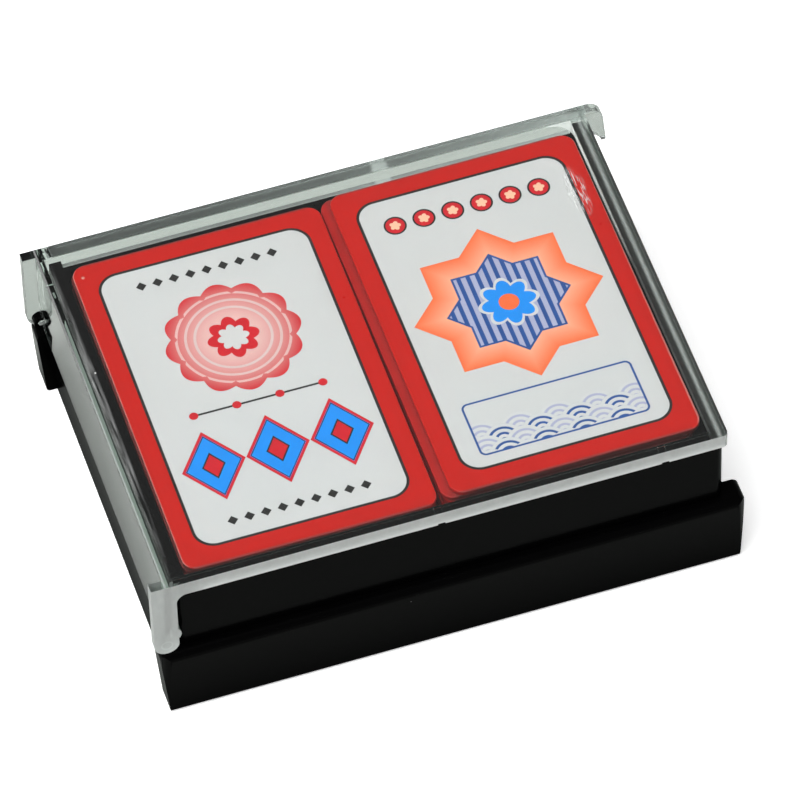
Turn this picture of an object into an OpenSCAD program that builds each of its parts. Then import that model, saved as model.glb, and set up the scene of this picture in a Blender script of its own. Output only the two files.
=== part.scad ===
// Playing card case: two stacks of small thick cards in a black moulded tray,
// under a clear lid that swings on two lugs at its left end.
// Millimetres. X runs from stack to stack, Y from front to back, Z up.
// The origin is the middle of the tray's sole, on the surface it stands on.

/* [Cards] */
// Width of one card
card_w = 35; // [30:0.5:45]
// Length of one card
card_l = 54; // [48:0.5:70]
// Thickness of one card
card_t = 0.82; // [0.6:0.02:1]
// Radius of a card's corners
card_corner_r = 2; // [1:0.1:4]
// Cards in each of the two stacks
cards_per_stack = 27; // [20:1:28]
// Space between the two stacks
stack_gap = 1.8; // [1.4:0.1:4]
// Most that a card lies off the line of its stack
card_slip = 0.12; // [0:0.02:0.2]
// How far the right stack leans left under its top card, as a share of the space between
right_lean = 0.65; // [0:0.05:0.7]
// Turn of the left stack in its well, in degrees
left_turn = -0.25; // [-0.3:0.05:0.3]
// Turn of the right stack in its well, in degrees
right_turn = 0.25; // [-0.3:0.05:0.3]
// How far the left stack has slid to the back, as a share of its play
left_slide = -0.25; // [-0.5:0.05:0.5]
// How far the right stack has slid to the back, as a share of its play
right_slide = 0.3; // [-0.5:0.05:0.6]

/* [Tray] */
// Play between a stack and the side wall
side_play = 0.4; // [0.35:0.05:2]
// Play between a stack and the front or back wall
end_play = 1.2; // [0.9:0.05:3]
// Play between a stack and the divider
divider_play = 0.4; // [0.3:0.05:0.6]
// Height of the divider above the tray's floor
divider_h = 8; // [3:0.5:12]
// Thickness of the tray's front and back walls
wall_t = 1.1; // [0.8:0.1:2]
// Thickness of the tray's side walls
side_t = 1.75; // [0.8:0.05:2.5]
// Height of the tray's floor above the sole
floor_z = 2.4; // [2:0.1:5]
// Outer radius of the tray's upright corners
tray_corner_r = 1; // [0.4:0.1:2]
// Radius of the top left corner of the front and back walls
shoulder_r = 1.5; // [0.5:0.1:2]
// Width of the two nibs on the front wall's top edge
nib_w = 0.7; // [0.6:0.1:3]
// Height of the nibs
nib_h = 0.15; // [0.1:0.05:0.4]
// Distance of the left nib from the middle of the front wall
nib_left = 1.6; // [0:0.1:10]
// Distance of the right nib from the right end of the front wall
nib_right = 8.5; // [4:0.5:20]

/* [Plinth] */
// Height of the plinth around the foot of the tray
plinth_h = 12.4; // [10:0.1:14]
// How far the plinth stands out from the front and back walls
plinth_proud = 1.7; // [1.2:0.1:4]
// How far the plinth stands out from the side walls between its rails
side_proud = 0.6; // [0.3:0.05:1]
// How far the ends of the rails stand out from the side walls
rail_reach = 2.95; // [2.5:0.05:5]
// Thickness of a rail where it passes the side wall
rail_w = 4; // [3:0.1:8]
// How much wider each end of a rail is at its top than at its sole
end_draft = 0.9; // [0.1:0.05:1.2]
// How much the front and back faces lean out from sole to top
face_draft = 0.4; // [0.1:0.05:0.8]
// Radius of the plinth's upright corners
rail_corner_r = 1.9; // [0.6:0.1:2]
// Radius along the plinth's top edges
rail_edge_r = 1.2; // [0.4:0.1:1.4]
// Radius along the plinth's bottom edges
sole_edge_r = 0.6; // [0.2:0.1:1]
// Depth of the hollow under the sole
sole_hollow = 0.8; // [0.3:0.1:1]
// Width of the rim that the plinth stands on
sole_rim = 2.6; // [1.5:0.1:5]

/* [Lid] */
// Room between the top cards and the lid
head_room = 0.6; // [0.3:0.05:2]
// Thickness of the lid's top plate
plate_t = 1.45; // [1:0.05:2.5]
// How far the rim along the front and right edges hangs below the plate
front_rim_drop = 0.95; // [0.8:0.05:2]
// How far the skirt along the back edge hangs below the plate
back_skirt_drop = 2.75; // [2.5:0.05:7]
// Thickness of the back skirt and of the lugs
skirt_t = 1.4; // [1:0.1:1.8]
// Thickness of the lid's left wall
side_wall_t = 1.1; // [0.8:0.1:1.4]
// How far the left wall's top lies inside the line of the hinge axis
wall_inset = 0.15; // [0:0.05:0.3]
// How far the left wall leans out from its top to its foot
wall_splay = 0.1; // [0:0.05:0.4]
// How far the left wall's foot stays above the lugs' feet
wall_lift = 0.7; // [0.4:0.05:1]
// How far the lid's front and back faces stand out from the tray's walls
rim_proud = 0.9; // [0.7:0.05:1.5]
// How far the lid's right edge stands out from the tray's side wall
side_overhang = 0.35; // [0.3:0.05:1.5]
// Reach of the lift tab beyond the lid's right edge
tab_reach = 3.15; // [2:0.05:4]
// Height of the lift tab's foot below the lid's top
tab_drop = 6.7; // [5:0.1:10]
// How much further the lift tab reaches at its foot than at its shoulder
tab_lean = 0.4; // [0:0.1:0.8]
// Radius of the lift tab's shoulder
tab_shoulder_r = 2.2; // [1:0.1:2.4]
// Width of the lift tab's tip, beside the hollow under it
tab_tip_w = 0.6; // [0.4:0.1:1]
// Radius of the lid's right corners
lid_corner_r = 0.8; // [0.3:0.1:2]

/* [Hinge] */
// Radius of the round foot of each lug
lug_r = 1.7; // [1.6:0.05:2.4]
// Radius of the pin on each lug
pin_r = 0.6; // [0.4:0.05:0.8]
// Length of each pin
pin_l = 1.2; // [0.8:0.1:2]
// Radial play of a pin in its knuckle
pin_play = 0.05; // [0.02:0.01:0.1]
// Outer radius of a knuckle
knuckle_r = 1.15; // [1.1:0.05:1.8]
// Thickness of a knuckle
knuckle_w = 1.3; // [1:0.1:2.5]
// How far the closing bump stands out from a lug's edge
bump_proud = 0.4; // [0.2:0.05:0.5]
// Radius of the closing bump
bump_r = 1.45; // [1.2:0.05:1.6]
// Height of the closing bump above the hinge axis
bump_rise = 1.9; // [1.4:0.1:2.4]

/* [Clearances] */
// Gap between the lid's rim and the top of the tray's walls
seat_gap = 0.05; // [0.02:0.01:0.2]
// Gap between the lift tab and the tray's side wall
tab_gap = 0.3; // [0.2:0.05:0.6]
// Gap between a lug and the end of the wall beside it
lug_gap = 0.1; // [0.05:0.05:0.3]
// Gap between a lug's foot and the rail below it
foot_gap = 0.15; // [0.12:0.01:0.4]
// Gap between a lug and the knuckle behind it
knuckle_gap = 0.1; // [0.05:0.05:0.3]
// Gap around a knuckle and around the closing bump
relief = 0.15; // [0.1:0.05:0.3]

/* [Hidden] */
$fn = 64;
// Overlap of joined solids and overrun of cutters
eps = 1;
// Least radius of an inside corner
min_corner_r = 0.3;
// Cards are numbered from the bottom of each stack
function card_name(side, i) = str("card_", side, "_", i < 10 ? "0" : "", i);

// Cards
stack_x = (card_w + stack_gap) / 2;
stack_top = floor_z + cards_per_stack * card_t;
// Steps of the sines that set each card's slip, so that no two cards lie alike
slip_step_x = 137;
slip_step_y = 223;

// Tray
tray_in_w = stack_gap / 2 + card_w + side_play;
tray_in_l = card_l / 2 + end_play;
tray_w = tray_in_w + side_t;
tray_l = tray_in_l + wall_t;
tray_in_r = max(tray_corner_r - wall_t / 2, min_corner_r);
divider_t = stack_gap - 2 * divider_play;
divider_top = floor_z + divider_h;
// Height over which the right stack leans, from the divider's top to its top card
lean_h = stack_top - card_t - divider_top;
nib_places = [-nib_left, tray_w - nib_right];

// Lid heights
lid_under = stack_top + head_room;
lid_top = lid_under + plate_t;
front_rim_z = lid_under - front_rim_drop;
back_skirt_z = lid_under - back_skirt_drop;
front_wall_z = front_rim_z - seat_gap;
back_wall_z = back_skirt_z - seat_gap;

// Plinth
plinth_w = tray_w + rail_reach;
plinth_l = tray_l + plinth_proud;
plinth_side = tray_w + side_proud;

// Hinge axis, along Y
axis_x = -(tray_w + lug_gap + lug_r);
axis_z = plinth_h + foot_gap + lug_r;

// Lid plan
lid_l = tray_l + rim_proud;
lid_right = tray_w + side_overhang;
lug_in = lid_l - skirt_t;
lug_edge = axis_x + lug_r;
rim_in = tray_in_l + seat_gap;
side_rim_in = tray_in_w + seat_gap;
wall_x = axis_x + wall_inset;
wall_foot_z = axis_z - lug_r + wall_lift;
knuckle_out = lug_in - knuckle_gap;
knuckle_in = knuckle_out - knuckle_w;
bump_x = lug_edge + bump_proud - bump_r;
bump_z = axis_z + bump_rise;
side_wall_end = lug_in - relief;
tab_foot_z = lid_top - tab_drop;
// The arc under the lift tab is centred this far below the tab's foot
tab_hollow_drop = tab_reach / 5;

// Rectangle with round corners, centred, from true arcs
module round_rect(half_w, half_l, r) {
    square([2 * half_w, 2 * (half_l - r)], center = true);
    square([2 * (half_w - r), 2 * half_l], center = true);
    for (x = [-1, 1], y = [-1, 1])
        translate([x * (half_w - r), y * (half_l - r)]) circle(r);
}

// Trapezium that widens from its foot to its top, with round corners
module drafted_profile(half_top, draft, height, top_r, foot_r) {
    lean = atan(draft / height);
    // Half the distance between two circles of radius r that touch both flanks at height z
    function between(r, z) = half_top - draft * (height - z) / height - r / cos(lean);
    low_x = between(foot_r, foot_r);
    high_x = between(top_r, height - top_r);
    low_flank = [low_x + foot_r * cos(lean), foot_r * (1 - sin(lean))];
    high_flank = [high_x + top_r * cos(lean), height - top_r * (1 + sin(lean))];
    polygon([
        [low_x, 0], low_flank, high_flank, [high_x, height],
        [-high_x, height], [-high_flank.x, high_flank.y], [-low_flank.x, low_flank.y], [-low_x, 0]
    ]);
    for (side = [-1, 1]) {
        translate([side * low_x, foot_r]) circle(foot_r);
        translate([side * high_x, height - top_r]) circle(top_r);
    }
}

// Turns a profile drawn in X and Z into a bar along Y, from y0 to y1
module along_y(y0, y1) {
    translate([0, y1, 0]) rotate([90, 0, 0]) linear_extrude(y1 - y0) children();
}

// Turns a profile drawn in Y and Z into a bar along X, from x0 to x1
module along_x(x0, x1) {
    translate([x0, 0, 0]) rotate([90, 0, 90]) linear_extrude(x1 - x0) children();
}

// Box between two corners
module box(low, high) {
    translate(low) cube(high - low);
}

// Plinth with a rail along its front and back; the rails pass the sides
module plinth() {
    intersection() {
        linear_extrude(plinth_h) difference() {
            round_rect(plinth_w, plinth_l, rail_corner_r);
            for (x = [-1, 1])
                translate([x * (plinth_side + plinth_w) / 2, 0])
                    square([plinth_w - plinth_side, 2 * (plinth_l - rail_w)], center = true);
        }
        along_y(-plinth_l - eps, plinth_l + eps)
            drafted_profile(plinth_w, end_draft, plinth_h, rail_edge_r, sole_edge_r);
        along_x(-plinth_w - eps, plinth_w + eps)
            drafted_profile(plinth_l, face_draft, plinth_h, rail_edge_r, sole_edge_r);
    }
}

// Space for the cards inside the tray's walls, above its floor
module well() {
    translate([0, 0, floor_z])
        linear_extrude(front_wall_z) round_rect(tray_in_w, tray_in_l, tray_in_r);
}

// Block that the tray's walls are cut from, lower at the back under the lid's skirt
module tray() {
    difference() {
        linear_extrude(front_wall_z) round_rect(tray_w, tray_l, tray_corner_r);
        box([-tray_w - eps, side_wall_end, back_wall_z], [tray_w + eps, tray_l + eps, lid_top]);
        box([-tray_in_w, tray_in_l - tray_in_r, back_wall_z], [tray_in_w, tray_l + eps, lid_top]);
        shoulder_cut(-tray_l - eps, -side_wall_end, front_wall_z);
        shoulder_cut(side_wall_end, tray_l + eps, back_wall_z);
        bump_pocket(-tray_l - eps, -side_wall_end);
        bump_pocket(side_wall_end, tray_l + eps);
    }
    nibs(0, tray_in_l, tray_l, front_wall_z - eps);
}

// Two low nibs on the front wall's top edge, or the notches that clear them
module nibs(gap, y0, y1, low_z) {
    for (x = nib_places)
        box([x - nib_w / 2 - gap, -y1, low_z], [x + nib_w / 2 + gap, -y0, front_wall_z + nib_h + gap]);
}

// Rounds off the top left corner of an end wall
module shoulder_cut(y0, y1, top_z) {
    along_y(y0, y1) translate([-tray_w, top_z]) difference() {
        translate([-eps, -shoulder_r]) square([shoulder_r + eps, shoulder_r + eps]);
        translate([shoulder_r, -shoulder_r]) circle(shoulder_r);
    }
}

// Pocket in the end of a wall that the closing bump springs into
module bump_pocket(y0, y1) {
    along_y(y0, y1) translate([bump_x, bump_z]) circle(bump_r + relief);
}

// Knuckle that stands out from a side wall, over the rail, and holds one pin of the lid
module knuckle() {
    difference() {
        union() {
            along_y(knuckle_in, knuckle_out) translate([axis_x, axis_z]) circle(knuckle_r);
            box([axis_x, knuckle_in, plinth_h - eps],
                [-tray_w + side_t / 2, knuckle_out, axis_z + knuckle_r]);
        }
        along_y(knuckle_in - eps, knuckle_out + eps)
            translate([axis_x, axis_z]) circle(pin_r + pin_play);
    }
}

// Black moulding: plinth, tray, divider and hinge knuckles in one piece
module base() {
    color([0.05, 0.05, 0.055]) difference() {
        union() {
            difference() {
                union() {
                    plinth();
                    tray();
                }
                well();
            }
            box([-divider_t / 2, -tray_in_l - wall_t / 2, floor_z - eps / 2],
                [divider_t / 2, tray_in_l + wall_t / 2, divider_top]);
            knuckle();
            mirror([0, 1, 0]) knuckle();
        }
        translate([0, 0, -eps]) linear_extrude(sole_hollow + eps)
            round_rect(plinth_side - sole_rim, plinth_l - face_draft - sole_rim, rail_corner_r);
    }
}

// Lug at one end of the left wall, with its pin and closing bump (front one)
module lug() {
    along_y(-lid_l, -lug_in) {
        translate([axis_x, axis_z]) circle(lug_r);
        translate([axis_x - lug_r, axis_z]) square([2 * lug_r, lid_top - axis_z]);
        translate([bump_x, bump_z]) circle(bump_r);
    }
    along_y(-lug_in - eps / 2, -lug_in + pin_l) translate([axis_x, axis_z]) circle(pin_r);
}

// Web that rounds the corner between a lug and the rim or skirt beside it
module lug_web(y0, y1, rim_z) {
    web_r = shoulder_r + seat_gap;
    along_y(y0, y1) difference() {
        translate([lug_edge - eps, rim_z - shoulder_r])
            square([-tray_w + shoulder_r - lug_edge + eps, shoulder_r + seat_gap]);
        translate([-tray_w + shoulder_r, rim_z - shoulder_r - seat_gap]) circle(web_r + seat_gap);
    }
}

// Left wall, leaning out to its foot, cut away around the knuckles
module left_wall() {
    difference() {
        along_y(-lug_in - eps / 2, lug_in + eps / 2) polygon([
            [wall_x, lid_top], [wall_x - wall_splay, wall_foot_z],
            [wall_x - wall_splay + side_wall_t, wall_foot_z], [wall_x + side_wall_t, lid_top]
        ]);
        for (y = [-lug_in, knuckle_in - relief])
            box([axis_x - knuckle_r - relief, y, wall_foot_z - eps],
                [lug_edge, y + lug_in - knuckle_in + relief, axis_z + knuckle_r + relief]);
    }
}

// Tab at the back right corner that a finger lifts the lid by
module lift_tab() {
    corner_x = lid_right - lid_corner_r;
    inner_x = tray_w + tab_gap;
    foot_x = lid_right + tab_reach;
    shoulder_x = foot_x - tab_lean;
    along_y(lug_in, lid_l) difference() {
        union() {
            polygon([
                [inner_x, tab_foot_z], [foot_x, tab_foot_z], [shoulder_x, lid_top - tab_shoulder_r],
                [shoulder_x - tab_shoulder_r, lid_top], [corner_x, lid_top],
                [corner_x, back_skirt_z], [inner_x, back_skirt_z]
            ]);
            translate([shoulder_x - tab_shoulder_r, lid_top - tab_shoulder_r])
                circle(tab_shoulder_r);
        }
        translate([inner_x, tab_foot_z - tab_hollow_drop]) circle(foot_x - inner_x - tab_tip_w);
    }
}

// Clear moulding: plate, rims, skirt, left wall, lugs, pins and lift tab
module lid() {
    color([0.8, 0.84, 0.82, 0.4]) {
        intersection() {
            translate([-lid_right, 0, 0]) linear_extrude(lid_top + eps)
                round_rect(2 * lid_right, lid_l, lid_corner_r);
            union() {
                box([wall_x, -lid_l, lid_under], [lid_right, lid_l, lid_top]);
                difference() {
                    box([lug_edge, -lid_l, front_rim_z], [lid_right, -rim_in, lid_top]);
                    nibs(relief, rim_in - eps, lid_l + eps, front_rim_z - eps);
                }
                box([lug_edge, lug_in, back_skirt_z], [lid_right, lid_l, lid_top]);
                box([side_rim_in, -lid_l, front_rim_z], [lid_right, lid_l, lid_top]);
            }
        }
        left_wall();
        lug();
        mirror([0, 1, 0]) lug();
        lug_web(-lid_l, -side_wall_end - relief, front_rim_z);
        lug_web(side_wall_end + relief, lid_l, back_skirt_z);
        lift_tab();
    }
}

// One card of a stack; the cards slip a little over each other
module card(side, i) {
    left = side == "left";
    z = floor_z + (i - 1) * card_t;
    leaning = !left && i < cards_per_stack;
    lean = leaning ? right_lean * stack_gap * max(z - divider_top, 0) / lean_h : 0;
    x = (left ? -stack_x : stack_x) + card_slip * sin(slip_step_x * i) - lean;
    y = (left ? left_slide : right_slide) * end_play + card_slip * sin(slip_step_y * i);
    turn = left ? left_turn : right_turn;
    color(i == cards_per_stack ? [0.86, 0.2, 0.17] : [0.74, 0.12, 0.13])
        translate([x, y, z]) rotate([0, 0, turn])
            linear_extrude(card_t) round_rect(card_w / 2, card_l / 2, card_corner_r);
}

base();
lid();
for (i = [1 : cards_per_stack]) {
    card("left", i);
    card("right", i);
}
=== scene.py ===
import math

import bmesh
import bpy
from mathutils import Matrix, Vector


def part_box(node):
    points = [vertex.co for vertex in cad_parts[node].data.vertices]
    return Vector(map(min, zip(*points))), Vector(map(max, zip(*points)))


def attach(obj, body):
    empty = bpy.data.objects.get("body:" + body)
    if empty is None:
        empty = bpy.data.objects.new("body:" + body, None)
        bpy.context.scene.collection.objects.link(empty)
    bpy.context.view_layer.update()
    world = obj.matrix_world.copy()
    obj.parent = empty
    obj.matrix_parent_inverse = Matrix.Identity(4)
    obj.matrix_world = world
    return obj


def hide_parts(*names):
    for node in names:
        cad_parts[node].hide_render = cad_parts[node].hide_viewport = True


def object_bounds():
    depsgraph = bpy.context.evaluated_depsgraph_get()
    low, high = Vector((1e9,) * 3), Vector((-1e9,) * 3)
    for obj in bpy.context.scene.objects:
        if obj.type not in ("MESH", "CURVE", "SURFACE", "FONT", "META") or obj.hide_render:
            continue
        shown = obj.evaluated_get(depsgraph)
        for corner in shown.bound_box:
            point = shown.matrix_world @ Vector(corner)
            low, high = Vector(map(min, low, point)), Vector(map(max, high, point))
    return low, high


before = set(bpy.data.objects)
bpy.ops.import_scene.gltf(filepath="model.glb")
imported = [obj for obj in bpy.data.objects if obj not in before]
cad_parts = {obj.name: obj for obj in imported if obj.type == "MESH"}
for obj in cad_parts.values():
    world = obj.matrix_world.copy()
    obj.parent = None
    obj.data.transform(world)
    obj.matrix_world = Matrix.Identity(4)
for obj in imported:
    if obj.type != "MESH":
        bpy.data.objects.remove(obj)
cad_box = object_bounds()
mm = 0.001

# ---------------------------------------------------------------------------
# Camera: a long lens high in front of the case, a little to its left, so
# that the sides of the case stay nearly parallel and the whole lid shows.
# ---------------------------------------------------------------------------
aim_point = Vector((0.62, -5.43, 20.0)) * mm
camera_distance = 1095.5 * mm
camera_heading = math.radians(16.585)
camera_height = math.radians(51.683)
camera_roll = math.radians(-1.975)
lens_length = 368.73
sensor_width = 36
camera_near = 0.05
camera_far = 20

lens = bpy.data.cameras.new("camera")
lens.lens = lens_length
lens.sensor_width = sensor_width
lens.clip_start = camera_near
lens.clip_end = camera_far
camera = bpy.data.objects.new("camera", lens)
look = Vector((
    math.sin(camera_heading) * math.cos(camera_height),
    math.cos(camera_heading) * math.cos(camera_height),
    -math.sin(camera_height),
))
camera.matrix_world = (
    Matrix.Translation(aim_point - look * camera_distance)
    @ look.to_track_quat("-Z", "Y").to_matrix().to_4x4()
    @ Matrix.Rotation(camera_roll, 4, "Z")
)
bpy.context.scene.collection.objects.link(camera)
bpy.context.scene.camera = camera
bpy.context.scene.view_settings.view_transform = "Standard"

# ---------------------------------------------------------------------------
# Studio: a wide matt paper floor, a pale surround that is dimmer overhead, and
# three soft lamps: a large one overhead and a smaller one on either side.
# ---------------------------------------------------------------------------
floor_half = 3.0
paper_white = (1.0, 1.0, 1.0)
# The paper as the plastics mirror it: painted dimmer as painted shade, and darker by the case's
# foot as a painted contact shadow
paper_reflected = (0.70, 0.735, 0.70)
paper_shaded = (0.05, 0.055, 0.052)
shade_inset = 4.4 * mm
shade_reach = 10.4 * mm
paper_lift = 0.42
surround_strength = 0.42
surround_dim = 0.6
surround_seen = 0.95
# name, place and size in metres, power in watts
soft_lamps = [
    ("lamp_overhead", (-0.40, -0.28, 1.20), 0.9, 13.5),
    ("lamp_left", (-1.10, 0.20, 0.90), 0.7, 2.6),
    ("lamp_right", (1.10, 0.30, 0.80), 0.6, 2.8),
]


def link_object(name, data):
    """Puts a new object with this data in the scene."""
    thing = bpy.data.objects.new(name, data)
    bpy.context.scene.collection.objects.link(thing)
    return thing


def new_material(name, **sockets):
    """A material with one Principled shader, whose own sockets take these values."""
    material = bpy.data.materials.new(name)
    material.use_nodes = True
    shader = material.node_tree.nodes["Principled BSDF"]
    for label, value in sockets.items():
        shader.inputs[label.replace("_", " ")].default_value = value
    return material, shader


class Ink:
    """A number that varies over a piece; arithmetic on it adds Math nodes to the material."""

    def __init__(self, tree, socket):
        self.tree = tree
        self.socket = socket

    def math(self, operation, *others, clamp=False):
        node = self.tree.nodes.new("ShaderNodeMath")
        node.operation = operation
        node.use_clamp = clamp
        for place, value in enumerate((self, *others)):
            self.feed(value, node.inputs[place])
        return Ink(self.tree, node.outputs["Value"])

    def feed(self, value, socket):
        if isinstance(value, Ink):
            self.tree.links.new(value.socket, socket)
        else:
            socket.default_value = value

    def __add__(self, other):
        return self.math("ADD", other)

    def __sub__(self, other):
        return self.math("SUBTRACT", other)

    def __mul__(self, other):
        return self.math("MULTIPLY", other)

    def __truediv__(self, other):
        return self.math("DIVIDE", other)

    def __neg__(self):
        return self.math("MULTIPLY", -1)

    def __abs__(self):
        return self.math("ABSOLUTE")

    def least(self, other):
        return self.math("MINIMUM", other)

    def most(self, other):
        return self.math("MAXIMUM", other)

    def clamped(self):
        """The number, kept between 0 and 1."""
        return self.math("ADD", 0, clamp=True)

    def within(self, limit, soft):
        """1 where the number is below the limit and 0 where it is above, over a soft edge."""
        return ((self - limit) / -soft).math("ADD", 0.5, clamp=True)


def own_place(tree, scale=(1, 1, 1)):
    """The point on the piece, in its own axes, as a vector socket."""
    where = tree.nodes.new("ShaderNodeTexCoord")
    stretch = tree.nodes.new("ShaderNodeVectorMath")
    stretch.operation = "MULTIPLY"
    stretch.inputs[1].default_value = scale
    tree.links.new(where.outputs["Object"], stretch.inputs[0])
    return stretch.outputs["Vector"]


def tint(tree, amount, under, over):
    """A colour socket that goes from one colour to the other with the amount."""
    mix = tree.nodes.new("ShaderNodeMix")
    mix.data_type = "RGBA"
    tree.links.new(amount.socket, mix.inputs["Factor"])
    for label, colour in (("A", under), ("B", over)):
        socket = next(s for s in mix.inputs if s.name == label and s.type == "RGBA")
        if isinstance(colour, tuple):
            socket.default_value = (*colour, 1)
        else:
            tree.links.new(colour, socket)
    return next(s for s in mix.outputs if s.type == "RGBA")


def once(tree, strength):
    """A strength that is 0 for light that reaches the cards through the lid a second time.

    The lid lets the lamps' shadow rays straight through, so the cards already have it."""
    ray = tree.nodes.new("ShaderNodeLightPath")
    lit = Ink(tree, ray.outputs["Diffuse Depth"]).least(1)
    again = lit * Ink(tree, ray.outputs["Is Transmission Ray"])
    return ((-again + 1) * strength).socket


# The paper looks white itself. What the plastics mirror and refract of it is painted a dimmer
# pale grey-green, as painted shade, and painted dark close round the foot of the case, where
# little light gets in, as a painted contact shadow.
paper, shader = new_material("paper", Roughness=0.9, Specular_IOR_Level=0.1)
tree = paper.node_tree
split = tree.nodes.new("ShaderNodeSeparateXYZ")
tree.links.new(own_place(tree), split.inputs[0])
case_high = cad_box[1]
beside = abs(Ink(tree, split.outputs["X"])) - case_high[0]
behind = abs(Ink(tree, split.outputs["Y"])) - case_high[1]
# Painted contact shadow: the mirrored paper darkens towards the foot of the case.
open_floor = (beside.most(behind) + shade_inset) / shade_reach
mirrored = tint(tree, open_floor.clamped(), paper_shaded, paper_reflected)
camera_ray = Ink(tree, tree.nodes.new("ShaderNodeLightPath").outputs["Is Camera Ray"])
tree.links.new(tint(tree, camera_ray, mirrored, paper_white), shader.inputs["Base Color"])
shader.inputs["Emission Color"].default_value = (1, 1, 1, 1)
tree.links.new((camera_ray * paper_lift).socket, shader.inputs["Emission Strength"])
floor_mesh = bpy.data.meshes.new("paper_floor")
floor_mesh.from_pydata(
    [(x * floor_half, y * floor_half, 0) for x, y in ((-1, -1), (1, -1), (1, 1), (-1, 1))],
    [],
    [(0, 1, 2, 3)],
)
floor_mesh.materials.append(paper)
link_object("paper_floor", floor_mesh)

world = bpy.data.worlds.new("surround")
bpy.context.scene.world = world
world.use_nodes = True
air = world.node_tree
pale = air.nodes["Background"]
pale.inputs["Color"].default_value = (1, 1, 1, 1)
split = air.nodes.new("ShaderNodeSeparateXYZ")
air.links.new(air.nodes.new("ShaderNodeTexCoord").outputs["Generated"], split.inputs[0])
fall_off = Ink(air, split.outputs["Z"]).most(0) * -surround_dim + 1
air.links.new(once(air, fall_off * surround_strength), pale.inputs["Strength"])
seen = air.nodes.new("ShaderNodeBackground")
seen.inputs["Color"].default_value = (1, 1, 1, 1)
seen.inputs["Strength"].default_value = surround_seen
which = air.nodes.new("ShaderNodeMixShader")
ray = air.nodes.new("ShaderNodeLightPath")
air.links.new(ray.outputs["Is Camera Ray"], which.inputs["Fac"])
air.links.new(pale.outputs["Background"], which.inputs[1])
air.links.new(seen.outputs["Background"], which.inputs[2])
air.links.new(which.outputs["Shader"], air.nodes["World Output"].inputs["Surface"])

for name, place, size, power in soft_lamps:
    lamp = bpy.data.lights.new(name, "AREA")
    lamp.shape = "DISK"
    lamp.size = size
    lamp.energy = power
    lamp.use_nodes = True
    glow = lamp.node_tree
    glow.links.new(once(glow, 1), glow.nodes["Emission"].inputs["Strength"])
    holder = link_object(name, lamp)
    holder.location = place
    holder.rotation_euler = (-Vector(place)).to_track_quat("-Z", "Y").to_euler()

# ---------------------------------------------------------------------------
# Base: one injection moulding in glossy black polystyrene, with the plinth,
# the tray's walls, the divider and the two knuckles that take the lid's pins.
# Its edges are slightly rounded, as the mould leaves them.
# ---------------------------------------------------------------------------
base_edge = 0.28 * mm
black = (0.0010, 0.0010, 0.0011)
black_dust = (0.16, 0.16, 0.16)
dust_cell = 3.4 * mm
dust_size = 0.11 * mm
dust_share = 0.2
dust_step = 0.01
black_roughness = 0.13
black_blot = 4 * mm
black_blot_rough = 0.10
black_wave = 1.5 * mm
black_wave_depth = 0.004 * mm
weld_distance = 0.001 * mm
one_plane = math.radians(0.6)
sharp_edge = math.radians(30)
edge_rings = 3


def moulding(name, node, edge, materials, cuts=(), finish_of=lambda face: 0):
    """A piece with a node's outline, its edges rounded as a mould leaves them.

    The cuts are planes, a point and a direction each, where one finish may end and
    another begin; finish_of gives the number of a face's material."""
    work = bmesh.new()
    work.from_mesh(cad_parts[node].data)
    bmesh.ops.remove_doubles(work, verts=work.verts, dist=weld_distance)
    for point, direction in cuts:
        bmesh.ops.bisect_plane(
            work,
            geom=[*work.verts, *work.edges, *work.faces],
            dist=weld_distance,
            plane_co=point,
            plane_no=direction,
        )
    for face in work.faces:
        face.smooth = True
        face.material_index = finish_of(face)
    bmesh.ops.dissolve_limit(
        work,
        angle_limit=one_plane,
        verts=work.verts,
        edges=work.edges,
        delimit={"MATERIAL"},
    )
    data = bpy.data.meshes.new(name)
    for material in materials:
        data.materials.append(material)
    work.to_mesh(data)
    work.free()
    piece = link_object(name, data)
    rounding = piece.modifiers.new("rounded edges", "BEVEL")
    rounding.width = edge
    rounding.segments = edge_rings
    rounding.limit_method = "ANGLE"
    rounding.angle_limit = sharp_edge
    rounding.miter_outer = "MITER_ARC"
    flat_faces = piece.modifiers.new("flat faces", "WEIGHTED_NORMAL")
    flat_faces.keep_sharp = True
    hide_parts(node)
    return piece


def noise(tree, size, squeeze=(1, 1, 1), detail=3):
    """Soft noise from 0 to 1, whose blots are about this size before they are squeezed."""
    blots = tree.nodes.new("ShaderNodeTexNoise")
    blots.inputs["Scale"].default_value = 1 / size
    blots.inputs["Detail"].default_value = detail
    tree.links.new(own_place(tree, squeeze), blots.inputs["Vector"])
    return Ink(tree, blots.outputs["Fac"])


def dust(tree, cell, size, share):
    """1 on fine round specks, one in this share of cells, and 0 elsewhere.

    A speck's rim is soft over a third of its size."""
    cells = tree.nodes.new("ShaderNodeTexVoronoi")
    cells.inputs["Scale"].default_value = 1 / cell
    tree.links.new(own_place(tree), cells.inputs["Vector"])
    lot = tree.nodes.new("ShaderNodeSeparateColor")
    tree.links.new(cells.outputs["Color"], lot.inputs["Color"])
    chosen = Ink(tree, lot.outputs["Red"]).within(share, dust_step)
    grown = Ink(tree, lot.outputs["Green"]) * (size / cell)
    return (Ink(tree, cells.outputs["Distance"]) - grown).within(0, size / cell / 3) * chosen


def ripple(tree, shader, height, depth):
    """Feeds a height, in metres at its full value, to the shader's normal."""
    bump = tree.nodes.new("ShaderNodeBump")
    bump.inputs["Strength"].default_value = 1
    bump.inputs["Distance"].default_value = depth
    tree.links.new(height.socket, bump.inputs["Height"])
    tree.links.new(bump.outputs["Normal"], shader.inputs["Normal"])


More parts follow.
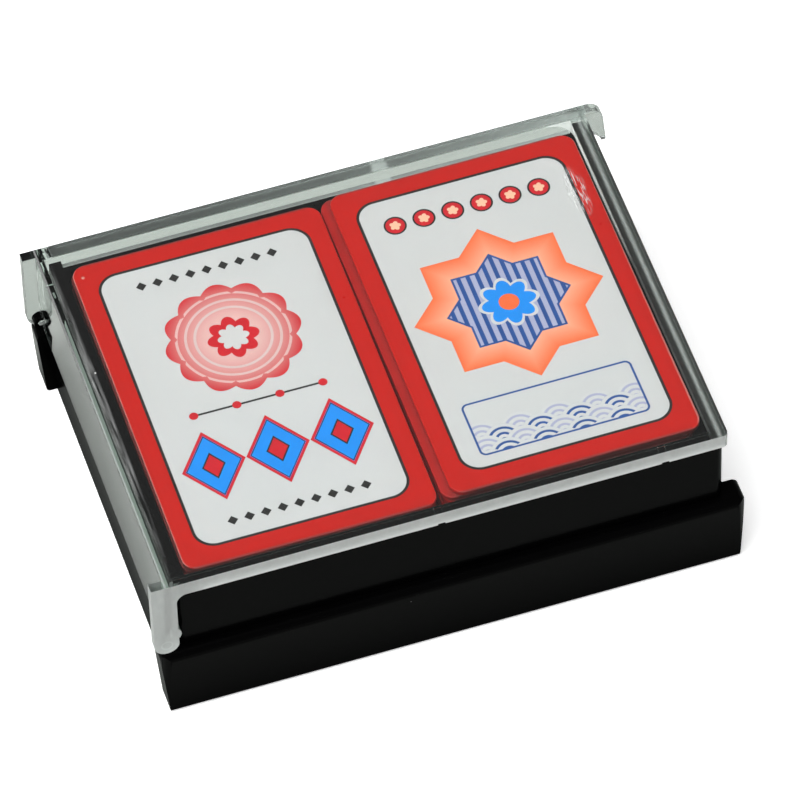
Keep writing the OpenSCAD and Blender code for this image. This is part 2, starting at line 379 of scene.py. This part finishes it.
black_plastic, shader = new_material("black_polystyrene", Specular_IOR_Level=0.03)
tree = black_plastic.node_tree
tree.links.new(
    tint(tree, dust(tree, dust_cell, dust_size, dust_share), black, black_dust),
    shader.inputs["Base Color"],
)
blots = noise(tree, black_blot) * black_blot_rough
tree.links.new((blots + black_roughness).socket, shader.inputs["Roughness"])
ripple(tree, shader, noise(tree, black_wave), black_wave_depth)
base = moulding("black_base", "base", base_edge, [black_plastic])
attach(base, "case")

# ---------------------------------------------------------------------------
# Cards: stiff red plastic, cut to size with round corners and tumbled, so the
# edges are rounded. Each stack holds the same number of cards, each card slips
# a little on the one below, and each stack lies slightly askew in its well.
# ---------------------------------------------------------------------------
# Sizes of a card, in millimetres
card_half_w = 17.5
card_half_l = 27.0
card_half_t = 0.41
card_corner = 2.0
card_edge = 0.16
corner_steps = 10
edge_steps = 3

stack_turn = {"left": math.radians(-0.25), "right": math.radians(0.25)}
red_side = (0.50, 0.008, 0.007)
red_side_dark = (0.38, 0.005, 0.004)
# painted shade for the card sides that face the case's walls
red_side_painted_shade = (0.17, 0.024, 0.022)
unshaded_side = -0.9
unshaded_side_soft = 0.1
lot_share = 0.55
cut_mark = 2.2 * mm
cut_mark_squeeze = (1, 1, 9)
cut_mark_depth = 0.02 * mm
side_roughness = 0.3
side_roughness_swing = 0.3


def card_ring(inset, height):
    """Points of the card's outline, drawn in by the inset, at this height, in millimetres."""
    radius = card_corner - inset
    points = []
    for quarter, (x, y) in enumerate(((1, 1), (-1, 1), (-1, -1), (1, -1))):
        for step in range(corner_steps + 1):
            angle = (quarter + step / corner_steps) * math.pi / 2
            points.append((
                x * (card_half_w - card_corner) + radius * math.cos(angle),
                y * (card_half_l - card_corner) + radius * math.sin(angle),
                height,
            ))
    return points


def card_mesh(name, side_material, face_material):
    """A card lying flat round its own middle, with round edges; its upper face is printed."""
    turns = [k / edge_steps * math.pi / 2 for k in range(edge_steps + 1)]
    lower = [
        (card_edge * (1 - math.sin(a)), card_edge * (1 - math.cos(a)) - card_half_t) for a in turns
    ]
    profile = lower + [(inset, -height) for inset, height in reversed(lower)]
    work = bmesh.new()
    rings = [
        [work.verts.new(Vector(p) * mm) for p in card_ring(inset, height)]
        for inset, height in profile
    ]
    work.faces.new(reversed(rings[0]))
    printed = [work.faces.new(rings[-1])]
    for row, (low, high) in enumerate(zip(rings, rings[1:])):
        for k in range(len(low)):
            after = (k + 1) % len(low)
            side = work.faces.new((low[k], low[after], high[after], high[k]))
            if row > edge_steps:
                printed.append(side)
    for face in work.faces:
        face.smooth = True
    for face in printed:
        face.material_index = 1
    data = bpy.data.meshes.new(name)
    data.materials.append(side_material)
    data.materials.append(face_material)
    work.to_mesh(data)
    work.free()
    return data


def lay_card(node, data):
    """Puts a card where the node is, turned as its stack is."""
    side, number = node.split("_")[1:]
    low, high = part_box(node)
    piece = link_object(f"{side}_stack_{number}", data)
    piece.matrix_world = Matrix.Translation((low + high) / 2) @ Matrix.Rotation(
        stack_turn[side], 4, "Z"
    )
    flat_faces = piece.modifiers.new("flat faces", "WEIGHTED_NORMAL")
    flat_faces.keep_sharp = True
    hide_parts(node)
    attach(piece, "case")


# The sides that face the other stack keep their own red; the rest are painted a dark red, as
# painted shade from the case's walls.
red_plastic, shader = new_material("red_card_stock", Specular_IOR_Level=0.35)
tree = red_plastic.node_tree
card_info = tree.nodes.new("ShaderNodeObjectInfo")
card_lot = Ink(tree, card_info.outputs["Random"])
cut_marks = noise(tree, cut_mark, cut_mark_squeeze)
stack_place, side_place = (tree.nodes.new("ShaderNodeSeparateXYZ") for _ in range(2))
tree.links.new(card_info.outputs["Location"], stack_place.inputs[0])
tree.links.new(own_place(tree, (1 / (card_half_w * mm), 1, 1)), side_place.inputs[0])
stack_x = Ink(tree, stack_place.outputs["X"]) / (card_half_w * mm)
outward = Ink(tree, side_place.outputs["X"]) * stack_x
paleness = card_lot * lot_share + cut_marks * (1 - lot_share)
own_red = tint(tree, paleness, red_side_dark, red_side)
# Painted shade: the sides away from the other stack take the dark red.
tree.links.new(
    tint(tree, outward.within(unshaded_side, unshaded_side_soft), red_side_painted_shade, own_red),
    shader.inputs["Base Color"],
)
rough = cut_marks * side_roughness_swing + side_roughness
tree.links.new(rough.socket, shader.inputs["Roughness"])
ripple(tree, shader, cut_marks, cut_mark_depth)
plain_card = card_mesh("plain_card", red_plastic, red_plastic)
stacks = {
    side: sorted(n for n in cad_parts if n.startswith(f"card_{side}_"))
    for side in ("left", "right")
}
for cards in stacks.values():
    for node in cards[:-1]:
        lay_card(node, plain_card)

# ---------------------------------------------------------------------------
# Printed cards: the top card of each stack. The upper face is printed glossy
# red round a pale panel with a thin black line, and the panel holds a plain
# ornament: a rosette over a row of lozenges, or a star over a band of scales.
# ---------------------------------------------------------------------------
print_red = (0.55, 0.008, 0.004)
panel_white = (0.655, 0.635, 0.65)
line_black = (0.018, 0.016, 0.016)
ink_blue = (0.012, 0.27, 0.86)
ink_deep_blue = (0.02, 0.08, 0.30)
ink_crimson = (0.62, 0.012, 0.022)
ink_orange = (0.95, 0.16, 0.05)
ink_peach = (0.95, 0.55, 0.38)
ink_lilac = (0.42, 0.42, 0.60)
# A pale line on the outward edge, partly worn bare and partly a painted highlight, and how much of
# it is laid
worn_edge_and_highlight = (0.66, 0.23, 0.21)
worn_and_highlight_share = 0.8
# Painted shade at the card's front and back ends, and how much of it is laid
painted_end_shade = (0.20, 0.035, 0.035)
end_shade_share = 0.75
wear_blot = 3 * mm
wear_detail = 5
face_specular = 0.3
face_roughness = 0.22
face_roughness_swing = 0.2
face_wave = 2.5 * mm
face_wave_depth = 0.006 * mm
fibre_fine = 0.5 * mm
fibre_wide = 8 * mm
fibre_shade = 0.94
# Widths and places on a card's face, in millimetres from its middle
edge_line_w = 0.17
edge_line_w_front = 0.34
edge_line_ragged = 0.12
edge_line_soft = 0.1
edge_line_side_w = 0.5
edge_line_side_soft = 0.4
edge_line_grow_y = 0.0
edge_line_grow_fade = 26.0
end_shade_w = 0.30
end_shade_soft = 0.3
panel_half_w = 14.75
panel_half_l = 24.05
panel_corner = 2.8
line_w = 0.40
print_soft = 0.06


def disc(x, y, radius):
    """Signed distance from a disc's edge, in millimetres, as the ones below also give."""
    return (x * x + y * y).math("SQRT") - radius


def lozenge(x, y, half_w, half_l):
    reach = abs(x) / half_w + abs(y) / half_l
    return (reach - 1) * (half_w * half_l / math.hypot(half_w, half_l))


def round_rect(x, y, half_w, half_l, radius):
    over_x = abs(x) - (half_w - radius)
    over_y = abs(y) - (half_l - radius)
    outside = disc(over_x.most(0), over_y.most(0), 0)
    return outside + over_x.most(over_y).least(0) - radius


def rosette(x, y, radius, petals, depth):
    """A flower's outline: its radius swings by the depth once for each petal."""
    swing = (y.math("ARCTAN2", x) * (petals / 2)).math("COSINE")
    return disc(x, y, radius - depth) - abs(swing) * depth


def star(x, y, reach):
    """Eight points: a square laid over another that is turned by 45 degrees."""
    upright = abs(x).most(abs(y))
    turned = (abs(x) + abs(y)) * math.sqrt(0.5)
    return upright.least(turned) - reach / math.sqrt(2)


def repeat(x, pitch, count):
    """x measured from the nearest of a row of places that are centred on 0."""
    last = (count - 1) / 2
    shift = 0.5 if count % 2 == 0 else 0
    nearest = (x / pitch - shift).math("ROUND") + shift
    return x - nearest.most(-last).least(last) * pitch


class Print:
    """The inks on a card's face, laid one over the other."""

    def __init__(self, name, ground):
        self.material, self.shader = new_material(name)
        self.tree = self.material.node_tree
        split = self.tree.nodes.new("ShaderNodeSeparateXYZ")
        self.tree.links.new(own_place(self.tree, (1 / mm, 1 / mm, 1 / mm)), split.inputs[0])
        self.x = Ink(self.tree, split.outputs["X"])
        self.y = Ink(self.tree, split.outputs["Y"])
        self.colour = ground

    def lay(self, distance, colour, soft=print_soft):
        """Prints a colour where the distance is below 0."""
        self.colour = tint(self.tree, distance.within(0, soft), self.colour, colour)

    def outline(self, distance, width, colour):
        self.lay(abs(distance) - width / 2, colour)

    def finish(self, outward, front_w):
        """Adds painted shade along the front and back ends, the pale outward edge, and the gloss.

        The outward edge is on the right where outward is 1, and on the left where it is -1; its
        pale line, partly worn bare and partly a painted highlight, grows to front_w towards the
        front."""
        tree = self.tree
        rim = round_rect(self.x, self.y, card_half_w, card_half_l, card_corner)
        wear = noise(tree, wear_blot, detail=wear_detail)
        side = self.x * -outward
        # Painted shade along the front and back ends of the face.
        end_shade = (-abs(self.y)).within(end_shade_w - card_half_l, end_shade_soft) * end_shade_share
        self.colour = tint(tree, end_shade, self.colour, painted_end_shade)
        # A pale line along the outward edge, partly worn bare and partly a painted highlight.
        edge_line_here = self.y.within(edge_line_grow_y, edge_line_grow_fade) * (front_w - edge_line_w) + edge_line_w
        worn_and_highlight = (-rim - edge_line_here + wear * edge_line_ragged).within(0, edge_line_soft)
        worn_and_highlight = worn_and_highlight * side.within(edge_line_side_w - card_half_w, edge_line_side_soft) * worn_and_highlight_share
        self.colour = tint(tree, worn_and_highlight, self.colour, worn_edge_and_highlight)
        tree.links.new(self.colour, self.shader.inputs["Base Color"])
        self.shader.inputs["Specular IOR Level"].default_value = face_specular
        rough = wear * face_roughness_swing + face_roughness
        tree.links.new(rough.socket, self.shader.inputs["Roughness"])
        ripple(tree, self.shader, noise(tree, face_wave), face_wave_depth)
        return self.material


def pale_panel(name):
    """A print with the red ground, the pale panel and its black line already on it."""
    sheet = Print(name, print_red)
    panel = round_rect(sheet.x, sheet.y, panel_half_w, panel_half_l, panel_corner)
    fibre = (noise(sheet.tree, fibre_fine) + noise(sheet.tree, fibre_wide)) / 2
    shaded_white = tuple(c * fibre_shade for c in panel_white)
    sheet.lay(panel, tint(sheet.tree, fibre, shaded_white, panel_white))
    sheet.outline(panel, line_w, line_black)
    return sheet


# Left card: a ringed rosette above a row of lozenges, between rows of beads
rosette_y = 8.6
rosette_r = 9.4
rosette_petals = 12
rosette_depth = 1.0
rosette_fade = 1.4
petal_pale = (0.86, 0.62, 0.60)
ring_rose = (0.80, 0.40, 0.38)
ring_pitch = 1.25
ring_share = 0.3
ring_margin = 0.9
ring_start = 4.2
heart_petals = 8
# radius, depth and colour
heart_flowers = [(3.6, 0.9, ink_crimson), (2.2, 0.6, panel_white)]
lozenge_y = -11.4
lozenge_pitch = 8.9
lozenge_count = 3
lozenge_half = (4.15, 5.6)
lozenge_rim = 0.42
lozenge_hair = 0.14
lozenge_hair_inset = 0.32
gem_half = (1.5, 2.1)
gem_line = 0.22
bead_rows = (20.9, -20.9)
bead_pitch = 2.3
bead_count = 9
bead_half = 0.75
thread_y = -2.6
thread_half = (9.0, 0.16)
thread_end = 0.15
knot_pitch = 6.0
knot_count = 4
knot_r = 0.62
chip_place = (-16.2, 24.85)
chip_r = 0.20
chip_soft = 0.2
chip_pale = (0.72, 0.30, 0.26)

left_print = pale_panel("left_card_print")
x, y, tree = left_print.x, left_print.y, left_print.tree
up = y - rosette_y
flower = rosette(x, up, rosette_r, rosette_petals, rosette_depth)
from_middle = disc(x, up, 0)
fade = (from_middle / rosette_r).math("POWER", rosette_fade)
left_print.lay(flower, tint(tree, fade, petal_pale, ink_crimson))
rings = (from_middle / ring_pitch).math("FRACT") - ring_share
rings = rings.most(flower + ring_margin).most(-(from_middle - ring_start))
left_print.lay(rings, tint(tree, fade, panel_white, ring_rose))
for radius, depth, colour in heart_flowers:
    left_print.lay(rosette(x, up, radius, heart_petals, depth), colour)

across = repeat(x, lozenge_pitch, lozenge_count)
row = y - lozenge_y
frame_line = lozenge(across, row, *lozenge_half)
left_print.lay(frame_line, ink_blue)
left_print.outline(frame_line, lozenge_rim, ink_crimson)
left_print.outline(frame_line + lozenge_hair_inset, lozenge_hair, line_black)
gem = lozenge(across, row, *gem_half)
left_print.lay(gem, ink_crimson)
left_print.outline(gem, gem_line, line_black)

bead_x = repeat(x, bead_pitch, bead_count)
for bead_y in bead_rows:
    left_print.lay(lozenge(bead_x, y - bead_y, bead_half, bead_half), line_black)
row = y - thread_y
left_print.lay(round_rect(x, row, *thread_half, thread_end), line_black)
left_print.lay(disc(repeat(x, knot_pitch, knot_count), row, knot_r), ink_crimson)
chip = disc(x - chip_place[0], y - chip_place[1], chip_r)
left_print.lay(chip, chip_pale, chip_soft)
left_face = left_print.finish(-1, edge_line_w)
left_top = card_mesh("left_top_card", red_plastic, left_face)
lay_card(stacks["left"][-1], left_top)

# Right card: a glowing star with a blue flower, over a band of scales
star_y = 1.6
star_reach = 13.4
star_glow = 5.2
core_reach = 8.6
bar_pitch = 1.3
bar_count = 21
bar_half = 0.3
thin_line = 0.3
flower_petals = 8
flower_depth = 1.1
flower_rim_r = 4.3
flower_r = 3.8
flower_heart_r = 1.4
band_y = -17.6
band_half = (11.8, 4.4)
band_corner = 0.8
scale_r = 2.7
scale_rows = 5
scale_count = 9
scale_low = -22.6
scale_rise = scale_r / 2.2
wave_pitch = 0.9
wave_share = 0.42
wave_soft = 0.1
crest_y = 19.2
crest_pitch = 4.1
crest_count = 6
crest_r = 1.45
crest_line = 0.25
# radius, petals and depth
crest_flower = (0.8, 5, 0.25)

right_print = pale_panel("right_card_print")
x, y, tree = right_print.x, right_print.y, right_print.tree
up = y - star_y
points = star(x, up, star_reach)
right_print.lay(points, tint(tree, (-points / star_glow).clamped(), ink_orange, ink_peach))
core = star(x, up, core_reach)
right_print.lay(core, ink_lilac)
bars = abs(repeat(x, bar_pitch, bar_count)) - bar_half
right_print.lay(bars.most(core), ink_deep_blue)
right_print.outline(core, thin_line, ink_deep_blue)
right_print.lay(rosette(x, up, flower_rim_r, flower_petals, flower_depth), panel_white)
right_print.lay(rosette(x, up, flower_r, flower_petals, flower_depth), ink_blue)
right_print.lay(disc(x, up, flower_heart_r), ink_orange)

band = round_rect(x, y - band_y, *band_half, band_corner)
for row in range(scale_rows):
    odd = row % 2
    ink = ink_deep_blue if odd else ink_lilac
    row_y = scale_low + scale_rise * (scale_rows - row)
    scale_x = repeat(x + scale_r * odd, 2 * scale_r, scale_count)
    scale = disc(scale_x, y - row_y + scale_r, scale_r)
    waves = (scale / wave_pitch).math("FRACT") - wave_share
    waves = tint(tree, waves.within(0, wave_soft), panel_white, ink)
    right_print.lay(scale.most(band), waves)
right_print.outline(band, thin_line, ink_deep_blue)

crest_x = repeat(x, crest_pitch, crest_count)
crest = disc(crest_x, y - crest_y, crest_r)
right_print.lay(crest, ink_crimson)
right_print.outline(crest, crest_line, line_black)
right_print.lay(rosette(crest_x, y - crest_y, *crest_flower), ink_peach)
right_face = right_print.finish(1, edge_line_w_front)
right_top = card_mesh("right_top_card", red_plastic, right_face)
lay_card(stacks["right"][-1], right_top)

# ---------------------------------------------------------------------------
# Lid: one injection moulding in clear polystyrene, with the pins that it turns
# on moulded on its two lugs. Its front face and front lug are satin, as the
# mould left them, and the undersides of its back skirt and right rim are hazed.
# ---------------------------------------------------------------------------
lid_edge = 0.16 * mm
clear_tint = (0.95, 0.965, 0.955)
clear_shade = (0.86, 0.87, 0.865)
clear_depth_colour = (0.80, 0.88, 0.84)
clear_depth_density = 150
polystyrene_ior = 1.5
# Places on the lid, in millimetres: the lugs lie left of lug_x and outside lug_y, the tab
# lies right of tab_x, and the right rim right of rim_x. The undersides of the rims lie
# between rim_low and rim_high.
lid_low, lid_high = (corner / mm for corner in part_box("lid"))
plate_t = 1.45
lug_x = -38.2
lug_y = 28.7
tab_x = 38.5
rim_x = 36.2
rim_low = 20.0
rim_high = 25.0
face_margin = 0.1
face_soft = 0.05
blot_core = 0.8


def clear(name, **sockets):
    """A clear moulded plastic that lets the lamps' shadow rays through to what it covers."""
    material, shader = new_material(name, IOR=polystyrene_ior, **sockets)
    tree = material.node_tree
    shadow = tree.nodes.new("ShaderNodeLightPath")
    open_way = tree.nodes.new("ShaderNodeBsdfTransparent")
    open_way.inputs["Color"].default_value = (*clear_shade, 1)
    either = tree.nodes.new("ShaderNodeMixShader")
    tree.links.new(shadow.outputs["Is Shadow Ray"], either.inputs["Fac"])
    tree.links.new(shader.outputs["BSDF"], either.inputs[1])
    tree.links.new(open_way.outputs["BSDF"], either.inputs[2])
    tree.links.new(either.outputs["Shader"], tree.nodes["Material Output"].inputs["Surface"])
    depth = tree.nodes.new("ShaderNodeVolumeAbsorption")
    depth.inputs["Color"].default_value = (*clear_depth_colour, 1)
    depth.inputs["Density"].default_value = clear_depth_density
    tree.links.new(depth.outputs["Volume"], tree.nodes["Material Output"].inputs["Volume"])
    return material, shader


def own_axes(tree):
    """The place on the piece along each of its axes, in millimetres."""
    split = tree.nodes.new("ShaderNodeSeparateXYZ")
    tree.links.new(own_place(tree, (1 / mm, 1 / mm, 1 / mm)), split.inputs[0])
    return [Ink(tree, split.outputs[axis]) for axis in "XYZ"]


def marks(tree, size, squeeze, floor, gain, detail=3):
    """Noise of which only what rises above the floor shows, made stronger by the gain."""
    return (noise(tree, size, squeeze, detail) - floor).math("MULTIPLY", gain, clamp=True)


def blot(x, y, place, half, soft):
    """1 on an oval patch and 0 round it, over a soft edge."""
    across = (x - place[0]) / half[0]
    along = (y - place[1]) / half[1]
    return disc(across, along, 0).within(blot_core, soft)


# Polished: the plate carries a painted highlight line along its left edge and painted reflection
# streaks beside it, is scuffed at one corner, and has a speck in the left end. Its underside is
# hazed along the root of the right rim and round its back corner, and the backs of the back lug
# and tab are greyed.
plate_wave = 9 * mm
plate_wave_depth = 0.02 * mm
plate_face_depth = 0.29
plate_face_soft = 0.1
scuff_place = (33.1, 15.9)
scuff_half = (1.5, 4.6)
scuff_soft = 0.5
scuff_haze = 0.60
scuff_hairs = {"size": 1.6 * mm, "squeeze": (9, 1, 1), "floor": 0.45, "gain": 5, "detail": 2}
# painted reflection streaks beside the plate's left edge
reflection_place = (-38.3, 0)
reflection_half = (0.6, 27)
reflection_soft = 0.6
reflection_share = 0.36
reflection_streaks = {"size": 0.5 * mm, "squeeze": (1, 0.08, 1), "floor": 0.35, "gain": 2.5}
# painted highlight line along the plate's left edge
edge_x = -39.56
edge_half = 0.13
edge_soft = 0.08
edge_highlight = 0.26
speck_place = (-37.8, 7.2)
speck_r = 0.14
speck_soft = 0.1
speck_haze = 0.6
root_corner = (33.0, 25.6)
root_r = 3.0
root_soft = 0.12
root_side_soft = 0.5
root_y = 13.0
root_fade = 22.0
root_haze = 0.58
root_plane_half = 0.05
root_plane_soft = 0.02
tip_grey = (0.50, 0.525, 0.51)
tip_soft = 0.1

polished, shader = clear("clear_polystyrene", Base_Color=(*clear_tint, 1), Roughness=0)
tree = polished.node_tree
ripple(tree, shader, noise(tree, plate_wave, detail=1), plate_wave_depth)
x, y, z = own_axes(tree)
scuffs = blot(x, y, scuff_place, scuff_half, scuff_soft)
haze = scuffs * marks(tree, **scuff_hairs) * scuff_haze
# Painted reflection: pale streaks beside the plate's left edge.
reflection = blot(x, y, reflection_place, reflection_half, reflection_soft)
haze = haze.most(reflection * marks(tree, **reflection_streaks) * reflection_share)
# Painted highlight: a white line along the plate's left edge.
haze = haze.most(abs(x - edge_x).within(edge_half, edge_soft) * edge_highlight)
speck = disc(x - speck_place[0], y - speck_place[1], speck_r).within(0, speck_soft)
haze = haze.most(speck * speck_haze)
haze = haze * (-z).within(plate_face_depth - lid_high.z, plate_face_soft)
root = disc((x - root_corner[0]).most(0), (y - root_corner[1]).most(0), root_r)
root = (-root).within(0, root_soft) * (-x).within(-root_corner[0], root_side_soft)
root = root * (-y).within(-root_y, root_fade) * root_haze
root = root * abs(z - (lid_high.z - plate_t)).within(root_plane_half, root_plane_soft)
tree.links.new((-haze - root + 1).socket, shader.inputs["Transmission Weight"])
tip = x.within(lug_x, tip_soft).most((-x).within(-tab_x, tip_soft))
tip = tip * (-y).within(face_margin - lid_high.y, face_soft)
tree.links.new(tint(tree, tip, clear_tint, tip_grey), shader.inputs["Base Color"])

# Satin: mottled, with a painted glow along the foot of the front face, a painted highlight
# ring over the hinge pin and a painted highlight streak on the lug.
satin_white = (0.90, 0.915, 0.91)
satin_roughness = 0.35
satin_grain = 0.4 * mm
satin_grain_depth = 0.01 * mm
satin_clear = 0.42
satin_mottle = 0.74
mottle_size = 0.9 * mm
mottle_squeeze = (1, 1, 0.4)
mottle_share = 0.9
past_lug_x = 35.0
past_lug_soft = 2
face_haze = 0.10
# painted glow along the foot of the front face
lip_high = 25.0
lip_soft = 0.9
lip_haze = 0.20
# painted highlight ring over the hinge pin
pin_place = (-39.85, 14.25)
pin_highlight_r = 0.75
pin_highlight_half = 0.15
pin_highlight_soft = 0.3
# painted highlight streak on the lug
lug_streak_place = (-39.2, 16.6)
lug_streak_half = (0.3, 1.5)
lug_streak_soft = 0.8

satin, shader = clear("satin_polystyrene", Roughness=satin_roughness)
tree = satin.node_tree
ripple(tree, shader, noise(tree, satin_grain), satin_grain_depth)
x, y, z = own_axes(tree)
past_lug = (-x).within(past_lug_x, past_lug_soft)
lip = z.within(lip_high, lip_soft) * past_lug
tree.links.new(
    (past_lug * -face_haze + satin_clear - lip * lip_haze).socket,
    shader.inputs["Transmission Weight"],
)
# Painted highlights: a ring over the hinge pin, a streak on the lug, and a glow along the foot of
# the front face.
pin_ring = abs(disc(x - pin_place[0], z - pin_place[1], pin_highlight_r))
bright = pin_ring.within(pin_highlight_half, pin_highlight_soft)
bright = bright.most(blot(x, z, lug_streak_place, lug_streak_half, lug_streak_soft)).most(lip)
bright = bright.most(noise(tree, mottle_size, mottle_squeeze) * mottle_share)
satin_dim = tuple(c * satin_mottle for c in satin_white)
tree.links.new(tint(tree, bright, satin_dim, satin_white), shader.inputs["Base Color"])

# Hazed: the undersides of the back skirt and right rim, and the rim's inner face. The
# haze on the skirt grows to the right, and a gate mark crosses it.
streak_x = 37.6
streak_half = 0.22
streak_soft = 0.5
streak_haze = 0.38
inner_face_x = 36.35
inner_face_half = 0.1
inner_face_soft = 0.02
inner_face_y = 13.0
inner_face_fade = 20.0
inner_face_haze = 0.75
skirt_left = -38
skirt_w = 76
skirt_rise = 2
skirt_haze = 0.11
skirt_haze_right = 0.34
skirt_outer_y = lid_high.y - 1.0
skirt_outer_share = 0.25
skirt_soft = 0.2
skirt_drag = 0.5 * mm
skirt_drag_squeeze = (0.06, 1, 1)
skirt_drag_share = 0.8
skirt_drag_floor = 0.6
gate_x = 9.6
gate_half = 1.2
gate_soft = 0.6
gate_haze = 0.5

hazed, shader = clear(
    "hazed_polystyrene", Base_Color=(*satin_white, 1), Roughness=satin_roughness
)
tree = hazed.node_tree
x, y, z = own_axes(tree)
ripple(tree, shader, noise(tree, satin_grain), satin_grain_depth)
rightward = ((x - skirt_left) / skirt_w).math("POWER", skirt_rise)
outer = y.within(skirt_outer_y, skirt_soft).most(rightward)
outer = outer * (1 - skirt_outer_share) + skirt_outer_share
skirt = (rightward * skirt_haze_right + skirt_haze) * outer
drag = noise(tree, skirt_drag, skirt_drag_squeeze) * skirt_drag_share + skirt_drag_floor
gate = abs(x - gate_x).within(gate_half, gate_soft) * gate_haze
skirt = (skirt * drag).most(gate) * (-y).within(-lug_y, skirt_soft)
streak = abs(x - streak_x).within(streak_half, streak_soft) * streak_haze
inner_face = abs(x - inner_face_x).within(inner_face_half, inner_face_soft)
inner_face = inner_face * (-y).within(-inner_face_y, inner_face_fade) * inner_face_haze
haze = skirt.most(streak).most(inner_face)
tree.links.new((-haze + 1).socket, shader.inputs["Transmission Weight"])


def lid_finish(face):
    """0 polished, 1 satin on the front face and front lug, 2 hazed under and inside the rims."""
    middle = face.calc_center_median() / mm
    on_lug = middle.x < lug_x and middle.y < -lug_y and face.normal.z < 0.5
    if on_lug or (middle.y < lid_low.y + face_margin and face.normal.y < -0.9):
        return 1
    on_rim = middle.x > rim_x and middle.z > rim_low
    under = rim_low < middle.z < rim_high and face.normal.z < -0.9
    if (under and (on_rim or middle.y > lug_y)) or (on_rim and face.normal.x < -0.9):
        return 2
    return 0


lid = moulding(
    "clear_lid",
    "lid",
    lid_edge,
    [polished, satin, hazed],
    cuts=[((x * mm, 0, 0), (1, 0, 0)) for x in (lug_x, rim_x)],
    finish_of=lid_finish,
)
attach(lid, "lid")
